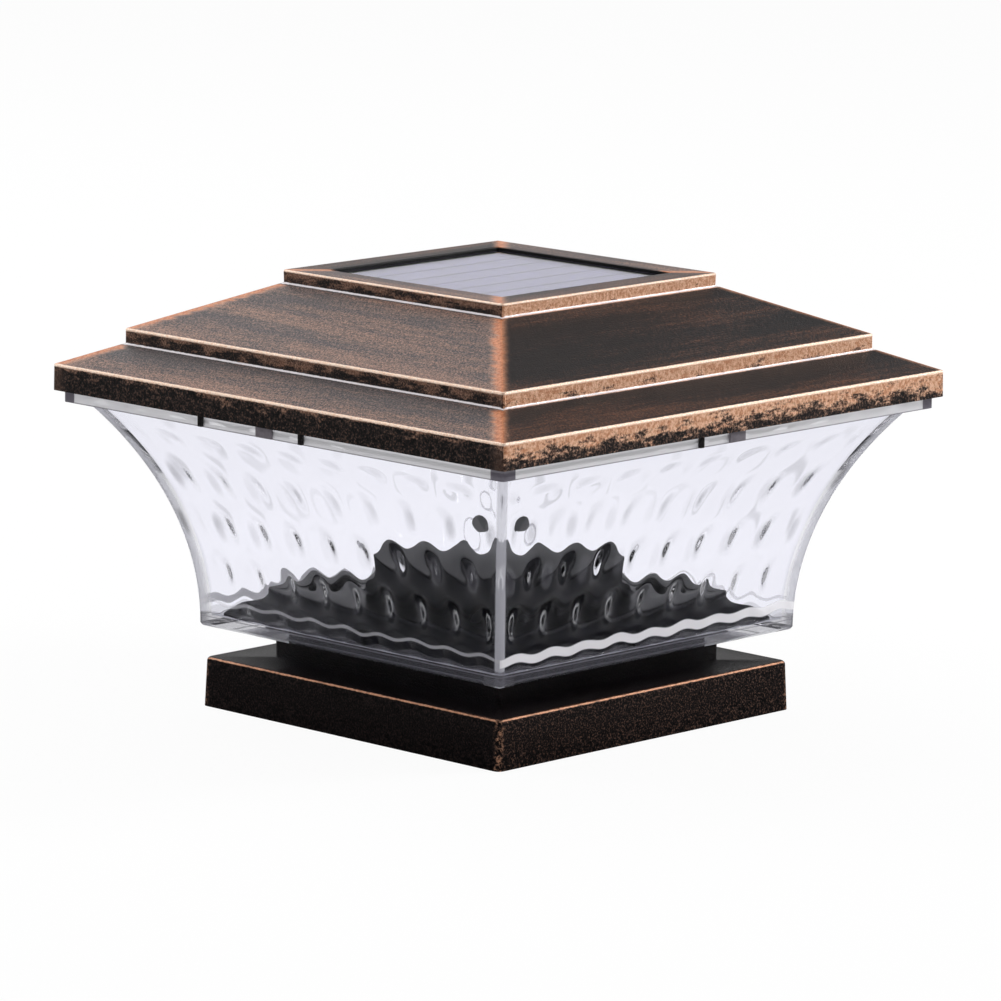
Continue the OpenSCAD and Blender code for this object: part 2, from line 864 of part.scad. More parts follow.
module control_chip() {
    body_w = 4;
    body_len = 5;
    leg_w = 0.5;
    leg_t = 0.2;
    lift = 0.15;
    color([0.08, 0.08, 0.08])
        translate([0, board_y - 4, board_top_z]) {
            translate([-body_len / 2, -body_w / 2, lift])
                cube([body_len, body_w, 1.5]);
            for (k = [-1.5 : 1.5])
                translate([k * 1.27 - leg_w / 2, -body_w / 2 - 1, 0])
                    cube([leg_w, body_w + 2, lift + leg_t]);
        }
}

// Wound drum inductor: two flanges, a core and its winding
module inductor() {
    color([0.5, 0.3, 0.12])
        translate([9, board_y - 6, 0]) {
            disc(3.2, board_top_z, board_top_z + 1);
            disc(2.7, board_top_z, board_top_z + 5.4);
            disc(3.2, board_top_z + 4.4, board_top_z + 5.4);
        }
}

module capacitor() {
    color([0.15, 0.2, 0.35])
        translate([-9, board_y - 6, board_top_z])
            rotate_extrude()
                polygon([[0, 0], [2.9, 0], [2.9, 0.7], [2.7, 1], [2.9, 1.3], [2.9, 7.6], [2.5, 8], [0, 8]]);
}

module switch_body() {
    low = plate_top_z + fit_gap;
    channel_len = slider_len + switch_travel + 1.2;
    color([0.7, 0.7, 0.72])
        difference() {
            translate([-switch_len / 2 - switch_travel / 8, slider_y - switch_w / 2, low])
                cube([switch_len + switch_travel / 4, switch_w, board_z - low]);
            translate([-channel_len / 2, slider_y - slider_w / 2 - run_gap, low - cut])
                cube([channel_len, slider_w + 2 * run_gap, channel_h + cut]);
        }
}

module switch_slider() {
    low = roof_z - slider_drop;
    top = plate_top_z + fit_gap + channel_h - run_gap;
    color([0.12, 0.12, 0.13])
        translate([-switch_travel / 2 - slider_len / 2, slider_y - slider_w / 2, 0])
            difference() {
                translate([0, 0, low])
                    cube([slider_len, slider_w, top - low]);
                for (k = [0 : 1])
                    translate([0.8 + 1.1 * k, -cut, low - cut])
                        cube([0.5, slider_w + 2 * cut, cut + 0.4]);
            }
}

module panel_lead_red() {
    color([0.75, 0.1, 0.1])
        mirror([1, 0, 0])
            lead(panel_lead_route);
}

module panel_lead_black() {
    color([0.05, 0.05, 0.05])
        lead(panel_lead_route);
}

module battery_lead_red() {
    color([0.75, 0.1, 0.1])
        lead(battery_lead_route);
}

module battery_lead_black() {
    color([0.05, 0.05, 0.05])
        mirror([1, 0, 0])
            lead(battery_lead_route);
}

module led_lead_red() {
    color([0.75, 0.1, 0.1])
        mirror([1, 0, 0])
            lead(led_lead_route);
}

module led_lead_black() {
    color([0.05, 0.05, 0.05])
        lead(led_lead_route);
}

base();
pedestal();
pedestal_screws();
shade();
roof_shell();
panel_board();
solar_cells();
panel_resin();
panel_sealant();
lamp_plate();
lamp_plate_screws();
reflector();
led_board();
leds();
led_lens();
battery_door();
battery_door_screws();
battery();
battery_contacts();
battery_spring();
control_board();
board_screws();
control_chip();
inductor();
capacitor();
switch_body();
switch_slider();
panel_lead_red();
panel_lead_black();
battery_lead_red();
battery_lead_black();
led_lead_red();
led_lead_black();
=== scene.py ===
from math import cos, pi, radians, sin, sqrt, tan

import bmesh
import bpy
from mathutils import Matrix, Quaternion, Vector


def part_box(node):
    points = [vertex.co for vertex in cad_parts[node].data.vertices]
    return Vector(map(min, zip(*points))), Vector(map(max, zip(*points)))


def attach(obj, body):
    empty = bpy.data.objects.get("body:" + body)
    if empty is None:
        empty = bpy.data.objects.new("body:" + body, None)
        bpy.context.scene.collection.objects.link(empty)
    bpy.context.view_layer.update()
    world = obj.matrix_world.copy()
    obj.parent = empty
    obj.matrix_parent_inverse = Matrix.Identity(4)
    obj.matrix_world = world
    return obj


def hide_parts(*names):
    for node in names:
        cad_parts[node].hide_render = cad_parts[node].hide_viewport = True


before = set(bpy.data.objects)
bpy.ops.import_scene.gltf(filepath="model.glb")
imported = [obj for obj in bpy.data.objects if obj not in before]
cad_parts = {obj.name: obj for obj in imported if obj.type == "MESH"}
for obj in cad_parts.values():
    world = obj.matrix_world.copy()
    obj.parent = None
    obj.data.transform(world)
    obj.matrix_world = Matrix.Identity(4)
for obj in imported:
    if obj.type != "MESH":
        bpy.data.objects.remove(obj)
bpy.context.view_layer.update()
MM = 0.001

# Camera
# A long lens at the height of a table top looks at the front corner of the light, a touch askew.
view_azimuth = radians(44.34)
view_elevation = radians(10.46)
view_roll = 0.0093
view_distance = 1530 * MM
aim_height = 50.4 * MM
aim_right = 0.65 * MM
to_camera = Vector((
    sin(view_azimuth) * cos(view_elevation),
    -cos(view_azimuth) * cos(view_elevation),
    sin(view_elevation),
))
camera_right = Vector((cos(view_azimuth), sin(view_azimuth), 0))
camera_data = bpy.data.cameras.new("camera")
camera_data.lens = 230.7
camera_data.sensor_width = 36
camera_data.clip_start = 0.1
camera_data.clip_end = 50
camera = bpy.data.objects.new("camera", camera_data)
camera.rotation_mode = "QUATERNION"
camera.location = Vector((0, 0, aim_height)) + camera_right * aim_right + to_camera * view_distance
camera.rotation_quaternion = (-to_camera).to_track_quat("-Z", "Y") @ Quaternion((0, 0, 1), view_roll)
bpy.context.scene.collection.objects.link(camera)
bpy.context.scene.camera = camera


# Base
# One plastic moulding: a square skirt that drops over the post, and a smaller square neck.
# It is sprayed black, and the skirt is dry-brushed with copper that stays on its edges.
class Value:
    """A number or colour on its way through a material; sums on it add Math nodes."""

    def __init__(self, paint, socket):
        self.paint = paint
        self.socket = socket

    def math(self, operation, *inputs):
        return self.paint.node("ShaderNodeMath", {"operation": operation}, dict(enumerate(inputs)))

    def __add__(self, other):
        return self.math("ADD", self, other)

    def __sub__(self, other):
        return self.math("SUBTRACT", self, other)

    def __rsub__(self, other):
        return self.math("SUBTRACT", other, self)

    def __mul__(self, other):
        return self.math("MULTIPLY", self, other)

    def __truediv__(self, other):
        return self.math("DIVIDE", self, other)

    def __abs__(self):
        return self.math("ABSOLUTE", self)

    __radd__ = __add__
    __rmul__ = __mul__

    def larger(self, other):
        return self.math("MAXIMUM", self, other)

    def smaller(self, other):
        return self.math("MINIMUM", self, other)

    def above(self, other):
        return self.math("GREATER_THAN", self, other)

    def root(self):
        return self.math("SQRT", self)

    def sine(self):
        return self.math("SINE", self)

    def cosine(self):
        return self.math("COSINE", self)

    def ramp(self, low, high, to_low=0.0, to_high=1.0):
        """Goes smoothly from to_low at low to to_high at high."""
        settings = {"interpolation_type": "SMOOTHSTEP", "clamp": True}
        inputs = {0: self, 1: low, 2: high, 3: to_low, 4: to_high}
        return self.paint.node("ShaderNodeMapRange", settings, inputs)


class Paint:
    """A material that is built node by node."""

    def __init__(self, name):
        self.material = bpy.data.materials.new(name)
        self.material.use_nodes = True
        self.tree = self.material.node_tree
        self.tree.nodes.clear()

    def node(self, kind, settings=None, inputs=None, output=0):
        made = self.tree.nodes.new(kind)
        for key, setting in (settings or {}).items():
            setattr(made, key, setting)
        for key, given in (inputs or {}).items():
            if isinstance(given, Value):
                self.tree.links.new(given.socket, made.inputs[key])
            else:
                made.inputs[key].default_value = given
        return Value(self, made.outputs[output]) if made.outputs else None

    def place(self):
        """x, y and z of the point on the object, in metres."""
        point = self.node("ShaderNodeTexCoord", output="Object")
        self.point = point
        return [self.node("ShaderNodeSeparateXYZ", None, {0: point}, axis) for axis in range(3)]

    def vector(self, x, y, z):
        return self.node("ShaderNodeCombineXYZ", None, {0: x, 1: y, 2: z})

    def noise(self, where, scale, detail=2.0, roughness=0.5):
        inputs = {"Vector": where, "Scale": scale, "Detail": detail, "Roughness": roughness}
        return self.node("ShaderNodeTexNoise", None, inputs)

    def mix(self, share, first, second):
        inputs = {0: share, 6: first, 7: second}
        return self.node("ShaderNodeMix", {"data_type": "RGBA"}, inputs, 2)

    def bump(self, height, distance, strength=1.0):
        inputs = {"Height": height, "Distance": distance, "Strength": strength}
        return self.node("ShaderNodeBump", None, inputs)

    def surface(self, **inputs):
        """Ends the material in one Principled shader; socket names have _ for spaces."""
        named = {key.replace("_", " "): given for key, given in inputs.items()}
        shader = self.node("ShaderNodeBsdfPrincipled", None, named)
        self.node("ShaderNodeOutputMaterial", None, {"Surface": shader})
        return self.material


def colour(red, green, blue):
    """A colour as seen on a screen, 0 to 255, as linear light."""
    def linear(level):
        share = level / 255
        return share / 12.92 if share <= 0.04045 else ((share + 0.055) / 1.055) ** 2.4
    return (linear(red), linear(green), linear(blue), 1)


def antique_copper(name, edges, grooves, slopes, hip_reach, shine, clean_inside, pocket_black=None,
                   clean_below=None, black_above=None):
    """Black paint dry-brushed with copper, rubbed bright at the edges and with a painted highlight along
    them [(half-side, height, reach, cover)].

    slopes says how much copper stays on the open faces, and each edge's cover how much stays below it.
    shine is 1 on the roof and 0 on the base, where the copper is duller and keeps to the edges.
    """
    paint = Paint(name)
    x, y, z = paint.place()
    wide, deep = abs(x), abs(y)
    half = wide.larger(deep)
    on_x_face = wide.above(deep)
    along = x + on_x_face * (y - x)
    outward = y + on_x_face * (x - y)
    hip = abs(wide - deep)

    # A number of its own for each side, so that no two sides have the same strokes
    side = on_x_face * 3.7 + outward.above(0) * 5.3

    def distance(line_half, line_z):
        """Distance from a level line round the piece."""
        across = half - line_half
        up = z - line_z
        return (across * across + up * up).root()

    # The brush runs along the edges, so the strokes are long that way and fine across it
    hair = paint.noise(paint.vector(along * 120 + side * 31, half * 2400, z * 2400), 1.0, 2.0, 0.6)
    stroke = paint.noise(paint.vector(along * 34 + side * 23, half * 700, z * 700), 1.0, 3.0, 0.6)
    sweep = paint.noise(paint.vector(along * 14 + side * 17, half * 130, z * 130), 1.0, 2.0, 0.5)
    grain = paint.noise(paint.point, 2300, 2.0, 0.65)
    fleck = paint.noise(paint.point, 1150, 3.0, 0.7)
    dab = paint.noise(paint.vector(along * 160 + side * 29, half * 520, z * 520), 1.0, 3.0, 0.65)

    # Copper left on the open faces, as fine grains that the strokes gather, thinner on two of the sides
    open_share = slopes - on_x_face * 0.1
    gathered = grain * 0.55 + fleck * 0.35 + hair * 0.4 + stroke * 0.45 + sweep * 0.9
    near_edge, off_edge, more = 1 * MM, 9 * MM, 0.13
    for edge_half, *_ in edges:
        inward = edge_half - half
        gathered = gathered + inward.ramp(near_edge, off_edge, more, 0) * inward.above(0)
    open_copper = (gathered + open_share).ramp(1.22, 1.62)

    # Bright wear along the edges, partly a painted highlight, and a near-white painted highlight in the
    # grooves below the bands, where the paint is also glossier
    edge_line = None
    for edge_half, edge_z, reach, _ in edges:
        line = (distance(edge_half, edge_z) + (fleck - 0.5) * (0.6 * MM)).ramp(reach * 0.5, reach, 1, 0)
        edge_line = line if edge_line is None else edge_line.larger(line)
    groove_highlight = edge_line * 0
    groove_highlight_inner, groove_highlight_outer = 0.2 * MM, 0.36 * MM
    for groove_half, groove_z in grooves:
        line = distance(groove_half, groove_z) + (fleck - 0.5) * (0.3 * MM)
        groove_highlight = groove_highlight.larger(line.ramp(groove_highlight_inner, groove_highlight_outer, 1, 0))

    # Copper on the upright bands, from their top edges down, and more of it on two of the sides
    band_depth = 12 * MM
    band = None
    face_copper = None
    for edge_half, edge_z, _, cover in edges:
        below = edge_z - z
        on_band = abs(half - edge_half).ramp(0.6 * MM, 1 * MM, 1, 0) * below.ramp(-0.2 * MM, 0.4 * MM)
        on_band = on_band * below.ramp(band_depth, band_depth + 1 * MM, 1, 0)
        amount = cover + on_x_face * shine * 0.45
        strokes = (dab * 1.15 + grain * 0.25 + fleck * 0.3 + amount * 0.6 - below * 75).ramp(0.92, 1.2)
        specks = grain.ramp(0.5, 0.68) * (0.34 - (1 - shine) * fleck.ramp(0.44, 0.58, 1, 0) * 0.26)
        specks = specks * (shine + (1 - shine) * (0.2 + on_x_face * 0.6))
        kept = strokes.larger(specks) * on_band
        band = on_band if band is None else band.larger(on_band)
        face_copper = kept if face_copper is None else face_copper.larger(kept)

    # The hips wear on one side, with a dark notch where a hip crosses a band
    hip_width = hip_reach * (1 - on_x_face * 0.75 * shine)
    ragged = hip + ((stroke - 0.5) * 2.2 + (grain - 0.5) * 1.2) * hip_width
    hip_share = (1 - band * 0.8) * shine + (1 - shine) * band * fleck.ramp(0.42, 0.66) * 0.7
    hip_line = (ragged - hip_width).ramp(-0.5 * hip_reach, 0.7 * hip_reach, 1, 0) * hip_share

    # All the copper together, kept off the places that the brush never reaches
    copper = edge_line.larger(hip_line * 0.9).larger(face_copper * (0.7 + on_x_face * 0.3))
    copper = copper.larger(open_copper * (1 - band) * 0.8) * half.above(clean_inside)
    if clean_below is not None:
        copper = copper * z.above(clean_below)
    if black_above is not None:
        copper = copper * z.ramp(black_above, black_above + 0.2 * MM, 1, 0)

    # Black paint, greyer on the open faces of two sides as a painted sheen, and copper from brown to
    # bright, its brown darker on the open faces of the other two sides as painted shade
    painted_sheen = (1 - band) * (1 - on_x_face * 0.97) * shine
    if clean_below is not None:
        painted_sheen = painted_sheen * z.above(clean_below)
    black_low = paint.mix(painted_sheen, colour(5, 4, 5), colour(40, 34, 36))
    black_high = paint.mix(painted_sheen, colour(36, 29, 30), colour(104, 90, 90))
    black = paint.mix(grain.ramp(0.35, 0.7), black_low, black_high)
    if pocket_black:
        black = paint.mix(half.above(clean_inside), pocket_black, black)
    brown_low = paint.mix(on_x_face * (1 - band), colour(92, 64, 54), colour(70, 42, 31))
    brown_high = paint.mix(on_x_face * (1 - band), colour(172, 130, 108), colour(122, 78, 56))
    brown = paint.mix(grain.ramp(0.35, 0.65), brown_low, brown_high)
    hip_copper = paint.mix(fleck.ramp(0.35, 0.65), colour(180, 104, 62), colour(218, 144, 100))
    band_copper = paint.mix(fleck.ramp(0.35, 0.65), colour(206, 142, 104), colour(250, 204, 172))
    bright = paint.mix(hip_line, band_copper, hip_copper)
    # The pale cream at the edges is partly real wear and partly a painted highlight
    worn_and_highlight_low = colour(240, 196, 166) if shine else colour(188, 124, 92)
    worn_and_highlight_high = colour(255, 236, 220) if shine else colour(238, 186, 152)
    worn_and_highlight = paint.mix(grain.ramp(0.3, 0.7), worn_and_highlight_low, worn_and_highlight_high)
    tint = paint.mix(hip_line.larger(face_copper * (0.15 + on_x_face * 0.75) * shine), brown, bright)
    tint = paint.mix(edge_line, tint, worn_and_highlight)
    painted = paint.mix(copper, black, tint)
    # The near-white line in the grooves is a painted highlight, set into the base colour
    groove_highlight_colour = colour(246, 240, 243)
    return paint.surface(
        Base_Color=paint.mix(groove_highlight * 0.95, painted, groove_highlight_colour),
        Roughness=(0.5 - copper * 0.08 + (grain - 0.5) * 0.25) * (1 - groove_highlight * 0.5),
        Metallic=copper * 0.25,
        Specular_IOR_Level=0.15 + shine * 0.2,
        Normal=paint.bump(hair * 0.3 + grain * 1.2 + copper * 0.15, 0.2 * MM, 0.7),
    )


def plain_finish(name, low, high, roughness, scale=900, metallic=0.0, grain=0.03 * MM, sheen=0.5):
    """A moulded, plated or coated surface with a fine grain between two close colours."""
    paint = Paint(name)
    paint.place()
    speckle = paint.noise(paint.point, scale, 3.0, 0.6)
    return paint.surface(
        Base_Color=paint.mix(speckle, colour(*low), colour(*high)),
        Roughness=roughness - 0.05 + speckle * 0.1,
        Metallic=metallic,
        Specular_IOR_Level=sheen,
        Normal=paint.bump(speckle, grain, 0.4),
    )


def finish_mesh(name, mesh, body, material, crease=35):
    """Links a finished mesh as a piece that rides on a body, smooth up to the crease angle."""
    mesh.shade_smooth()
    mesh.set_sharp_from_angle(angle=radians(crease))
    mesh.materials.clear()
    mesh.materials.append(material)
    piece = bpy.data.objects.new(name, mesh)
    bpy.context.scene.collection.objects.link(piece)
    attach(piece, body)
    return piece


def mesh_from(bm, name):
    """Turns a finished bmesh into a named mesh."""
    mesh = bpy.data.meshes.new(name)
    bm.to_mesh(mesh)
    bm.free()
    return mesh


def merged_copy(node):
    """A copy of a CAD node's mesh with its loose triangles joined."""
    bm = bmesh.new()
    bm.from_mesh(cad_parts[node].data)
    bmesh.ops.remove_doubles(bm, verts=bm.verts, dist=0.01 * MM)
    return bm


def level_shading(piece):
    """Keeps the flat faces flat where they meet a rounded edge."""
    weighted = piece.modifiers.new("level shading", "WEIGHTED_NORMAL")
    weighted.keep_sharp = True
    weighted.weight = 80


skirt_top = 12 * MM
skirt_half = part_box("base")[1].x

skirt_finish = antique_copper(
    "antique copper on the base",
    [(skirt_half - 0.45 * MM, skirt_top - 0.1 * MM, 0.5 * MM, 0.0)],
    [],
    slopes=-0.16,
    hip_reach=1.3 * MM,
    shine=0.0,
    clean_inside=skirt_half - 1.3 * MM,
    black_above=skirt_top - 0.02 * MM,
)
base = finish_mesh("base_moulding", mesh_from(merged_copy("base"), "base_moulding"),
                   "lamp", skirt_finish)
level_shading(base)
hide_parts("base")

# Shade
# A clear acrylic moulding with flared walls, smooth outside; drops of relief inside bend the light.
# Its floor ring is clamped between the neck and the pedestal, and its flange carries the roof.
shade_low, shade_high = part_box("shade")
shade_wall = 2.6 * MM
foot_half = 50.4 * MM
shade_corner_r = 0.9 * MM
flange_half = shade_high.x
flange_lip = 3.8 * MM
flange_t = 2.6 * MM
opening_half = 32.85 * MM
foot_chamfer = 0.8 * MM
flare_z = shade_low.z + foot_chamfer
flange_z = shade_high.z - flange_t
flare_h = flange_z - flare_z
flare = flange_half - flange_lip - foot_half
flare_r = (flare_h * flare_h + flare * flare) / (2 * flare)
floor_z = shade_low.z + flange_t


def flare_half(z, wall):
    """Half-side of the flared wall at a height, at its outer face or a wall's thickness inside it."""
    rise = min(max(z - flare_z, 0), flare_r)
    return foot_half + flare_r - sqrt((flare_r + wall) ** 2 - rise * rise)


def drop(offset):
    """Profile of one drop, from 1 in its middle to 0 at its ends."""
    return cos(pi / 2 * offset) ** 2 if abs(offset) < 1 else 0


relief_columns = 9
relief_pitch = 12 * MM
relief_len = 15.5 * MM
relief_depth = 1.25 * MM
relief_high_margin = 2.5 * MM
relief_low_margin = 1 * MM
relief_corner_margin = 4 * MM
relief_flange_loss = 0.45
relief_first_z = floor_z + 11 * MM
relief_low_z = floor_z + 0.3 * MM
relief_high_z = flange_z - flange_lip


def relief(across, z, half):
    """Depth of the drops at a place across the face (-1 to 1) and a height."""
    column = pi / 2 * relief_columns * across
    row = (z - relief_first_z) / relief_pitch
    reach = relief_len / 2 / relief_pitch
    even_row = 2 * round(row / 2)
    odd_row = 2 * round((row - 1) / 2) + 1
    corner_fade = min(1, (1 - abs(across)) * half / relief_corner_margin)
    low_fade = min(1, max(0, (z - relief_low_z) / relief_low_margin))
    high_fade = min(1, max(0, (relief_high_z - z) / relief_high_margin))
    shape = cos(column) ** 2 * drop((row - even_row) / reach)
    shape += sin(column) ** 2 * drop((row - odd_row) / reach)
    rise_fade = 1 - relief_flange_loss * min(1, max(0, (row - 1) / 2))
    return relief_depth * corner_fade * low_fade * high_fade * rise_fade * shape


def turned_square(chain, closed):
    """Four mitred sides spun from a chain of (half-side, height) points at one corner."""
    bm = bmesh.new()
    points = [bm.verts.new((half, -half, z)) for half, z in chain]
    edges = [bm.edges.new(pair) for pair in zip(points, points[1:])]
    if closed:
        edges.append(bm.edges.new((points[-1], points[0])))
    bmesh.ops.spin(bm, geom=points + edges, cent=(0, 0, 0), axis=(0, 0, 1), angle=2 * pi, steps=4,
                   use_merge=True)
    bmesh.ops.remove_doubles(bm, verts=bm.verts, dist=0.000001)
    bmesh.ops.recalc_face_normals(bm, faces=bm.faces)
    return bm


def round_edges(bm, edges, radius, segments):
    """Rounds edges with a bevel of even width."""
    bmesh.ops.bevel(bm, geom=edges, offset=radius, offset_type="OFFSET", segments=segments, profile=0.5,
                    affect="EDGES", material=-1, loop_slide=True)


def hips(bm, keep):
    """Upright and sloping corner edges for which keep(half-side, height) is true."""
    found = []
    for edge in bm.edges:
        middle = (edge.verts[0].co + edge.verts[1].co) / 2
        if abs(abs(middle.x) - abs(middle.y)) < 0.000001 and keep(abs(middle.x), middle.z):
            found.append(edge)
    return found


outer_steps = 28
inner_steps = 96
faces_per_column = 12
side_least = 40 * MM
shade_chain = [(opening_half, shade_low.z), (foot_half - foot_chamfer, shade_low.z)]
for step in range(outer_steps + 1):
    level = flare_z + flare_h * step / outer_steps
    shade_chain.append((flare_half(level, 0), level))
shade_chain += [(flange_half, flange_z), (flange_half, shade_high.z)]
inner_h = shade_high.z - floor_z
for step in range(inner_steps + 1):
    level = shade_high.z - inner_h * step / inner_steps
    shade_chain.append((flare_half(level, shade_wall), level))
shade_chain.append((opening_half, floor_z))
shade_mesh = turned_square(shade_chain, closed=True)
corner_edges = hips(
    shade_mesh,
    lambda half, z: half > flare_half(z, 0) - 0.2 * MM and z > shade_low.z + 0.1 * MM,
)
round_edges(shade_mesh, corner_edges, shade_corner_r, 3)
long_edges = [
    edge for edge in shade_mesh.edges
    if edge.calc_length() > side_least and abs(edge.verts[0].co.z - edge.verts[1].co.z) < 0.001 * MM
]
cuts = faces_per_column * relief_columns - 1
bmesh.ops.subdivide_edges(shade_mesh, edges=long_edges, cuts=cuts, use_grid_fill=True)
for vert in shade_mesh.verts:
    wide, deep, z = abs(vert.co.x), abs(vert.co.y), vert.co.z
    half = max(wide, deep)
    inner = flare_half(z, shade_wall)
    if abs(half - inner) < 0.05 * MM and relief_low_z < z < relief_high_z:
        depth = relief(min(wide, deep) / half, z, half)
        share = (half - depth) / half
        if wide > deep:
            vert.co.x *= share
        else:
            vert.co.y *= share
bmesh.ops.recalc_face_normals(shade_mesh, faces=shade_mesh.faces)


def clear_plastic(name):
    """Clear acrylic with a faint lavender cast, with painted light and painted shade on its flange, corner
    lines, drop flanks and foot.
    """
    paint = Paint(name)
    x, y, z = paint.place()
    wide, deep = abs(x), abs(y)
    half, hip = wide.larger(deep), abs(wide - deep)
    on_x_face = wide.above(deep)
    rise = (z - flare_z).larger(0)
    flared = (flare_r * flare_r - rise * rise).root()
    outside = (half + flared - foot_half - flare_r).above(-1 * MM)
    ripple = paint.noise(paint.point, 60, 2.0, 0.4)
    clear = paint.node("ShaderNodeBsdfPrincipled", None, {
        "Base Color": paint.mix(ripple, (0.94, 0.94, 0.985, 1), (0.95, 0.95, 0.99, 1)),
        "Roughness": 0.0,
        "IOR": 1.2,
        "Transmission Weight": 1.0,
        "Normal": paint.bump(ripple, 0.2 * MM, 0.2),
    })

    # The flange is painted white as the backdrop seen through it, a painted light, and grey as painted
    # shade in its solid corners and along its lower edge
    flange = z.ramp(flange_z - 0.1 * MM, flange_z + 0.1 * MM)
    flange_end = wide.smaller(deep).ramp(flange_half - flange_lip - 0.3 * MM, flange_half - flange_lip)
    lower_edge = z.ramp(flange_z + 0.15 * MM, flange_z + 0.35 * MM, 1, 0)
    flange_grey = flange_end.larger(lower_edge * 0.8)
    flange_plastic = paint.node("ShaderNodeBsdfPrincipled", None, {
        "Base Color": paint.mix(flange_grey, colour(252, 251, 255), colour(104, 99, 110)),
        "Roughness": 0.3,
        "Alpha": 0.7 + flange_grey * 0.2,
    })
    body = paint.node("ShaderNodeMixShader", None, {0: flange, 1: clear, 2: flange_plastic})

    # One flank of each drop, as the relief above lays them out, is painted as a soft grey streak of shade
    turn = (x + on_x_face * (y - x)) * (pi * relief_columns) / half
    swell = ((z - relief_first_z) * (pi / relief_pitch)).cosine()
    flank = (turn.sine() * swell).ramp(0.45, 1) * outside * hip.ramp(10 * MM, 50 * MM, 1, 0.35)
    flank = flank * z.ramp(relief_first_z, relief_first_z + 8 * MM)
    flank = flank * z.ramp(relief_high_z - 5 * MM, relief_high_z, 1, 0)

    # Pale, partly see-through paint: the floor ring's top, painted light on the corner lines and in a wavy
    # band at the foot of the walls, brighter on two sides, and painted shade in grey on the drop flanks and
    # in a strip at the floor ring's edge
    corner = hip.ramp(1.3 * MM, 2 * MM, 1, 0) * outside * (1 - flange)
    ground = abs(z - floor_z).ramp(0.1 * MM, 0.2 * MM, 1, 0)
    wave = 0.4 * MM
    foot_low = 3.5 * MM - on_x_face * (1.3 * MM)
    foot_high = 4.4 * MM
    foot_rise = z - floor_z - turn.cosine() * wave + (ripple - 0.5) * (2 * MM)
    foot = (foot_rise - foot_low).ramp(0, wave) * foot_rise.ramp(foot_high, foot_high + wave, 1, 0)
    foot = foot * outside * (0.4 + on_x_face * 0.55)
    strip = (z - floor_z).ramp(-2.4 * MM, -2 * MM) * foot_rise.ramp(1.2 * MM, 1.8 * MM, 1, 0)
    strip = strip * outside * 0.3
    pale = paint.mix(ripple, colour(214, 214, 228), colour(232, 232, 242))
    pale_and_foot_light = paint.mix(foot, pale, colour(252, 250, 255))
    # This shader carries those painted light and painted shade marks, and the floor ring's pale top
    frosted = paint.node("ShaderNodeBsdfPrincipled", None, {
        "Base Color": paint.mix(flank.larger(strip * 3), pale_and_foot_light, colour(96, 94, 106)),
        "Roughness": 0.4,
        "Alpha": 0.8,
    })
    # Painted light: a pale veil beside the two corners at the sides
    beside = (x * y).above(0) * hip.ramp(2 * MM, 6 * MM, 0.65, 0) * outside * (1 - flange)
    share = (corner * 0.6).larger(beside).larger(ground * 0.85)
    share = share.larger(foot).larger(flank * 0.3).larger(strip)
    blend = paint.node("ShaderNodeMixShader", None, {0: share, 1: body, 2: frosted})
    paint.node("ShaderNodeOutputMaterial", None, {"Surface": blend})
    return paint.material


shade = finish_mesh("shade_moulding", mesh_from(shade_mesh, "shade_moulding"), "lamp",
                    clear_plastic("clear acrylic"), crease=30)
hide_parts("shade")

# Pedestal
# A hollow black moulding in two steps, with a plug that passes through the shade's floor ring.
# Four screws from below pull it down, and four tabs keep it square in the shade.
matt_black = plain_finish("black matt plastic", (8, 8, 14), (15, 15, 24), 0.45, grain=0.01 * MM, sheen=0.12)
pedestal_mesh = merged_copy("pedestal")
tier_half = 39 * MM
skirt_foot = 44.5 * MM
wider_foot = 46.2 * MM

# The foot of the lower step is spread outwards a little, and its top stays as it is
for vert in pedestal_mesh.verts:
    half = max(abs(vert.co.x), abs(vert.co.y))
    if vert.co.z > floor_z - 0.1 * MM and tier_half < half < skirt_foot + 0.1 * MM:
        outward = (half - tier_half) / (skirt_foot - tier_half)
        spread = (tier_half + outward * (wider_foot - tier_half)) / half
        vert.co.x *= spread
        vert.co.y *= spread
pedestal = finish_mesh("pedestal_moulding", mesh_from(pedestal_mesh, "pedestal_moulding"), "lamp",
                       matt_black)
level_shading(pedestal)
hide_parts("pedestal")

zinc = plain_finish("zinc plate", (150, 152, 158), (186, 188, 192), 0.32, metallic=1.0)


def refinish(node, material):
    """Gives a CAD node its finish."""
    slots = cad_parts[node].data.materials
    slots.clear()
    slots.append(material)


for screws in ("pedestal_screws", "lamp_plate_screws", "battery_door_screws", "board_screws"):
    refinish(screws, zinc)

# Lamp plate and lamp
# A black plate closes the roof from below. It holds a frosted lens with its plated reflector,
# the LEDs on their board, the cell in its bay and the control board with the slide switch.
black_plastic = plain_finish("black satin plastic", (13, 12, 15), (24, 23, 28), 0.38)
refinish("lamp_plate", black_plastic)
refinish("battery_door", black_plastic)
refinish("switch_slider", black_plastic)
refinish("reflector", plain_finish("bright plating", (205, 207, 212), (225, 226, 230), 0.12, metallic=1.0))
refinish("led_board", plain_finish("white solder mask", (216, 216, 208), (232, 232, 226), 0.4))
refinish("leds", plain_finish("phosphor gel", (232, 196, 84), (246, 218, 122), 0.35))
refinish("led_lens", plain_finish("frosted lens", (222, 222, 226), (238, 238, 242), 0.55))
refinish("battery", plain_finish("green shrink sleeve", (32, 92, 52), (44, 112, 64), 0.3))
nickel = plain_finish("nickel strip", (178, 174, 160), (204, 200, 188), 0.28, metallic=1.0)
for part in ("battery_contacts", "battery_spring", "switch_body"):
    refinish(part, nickel)
solder_mask = plain_finish("green solder mask", (14, 66, 34), (22, 84, 46), 0.35)
refinish("control_board", solder_mask)
refinish("control_chip", plain_finish("moulded epoxy", (16, 16, 17), (28, 28, 30), 0.5))
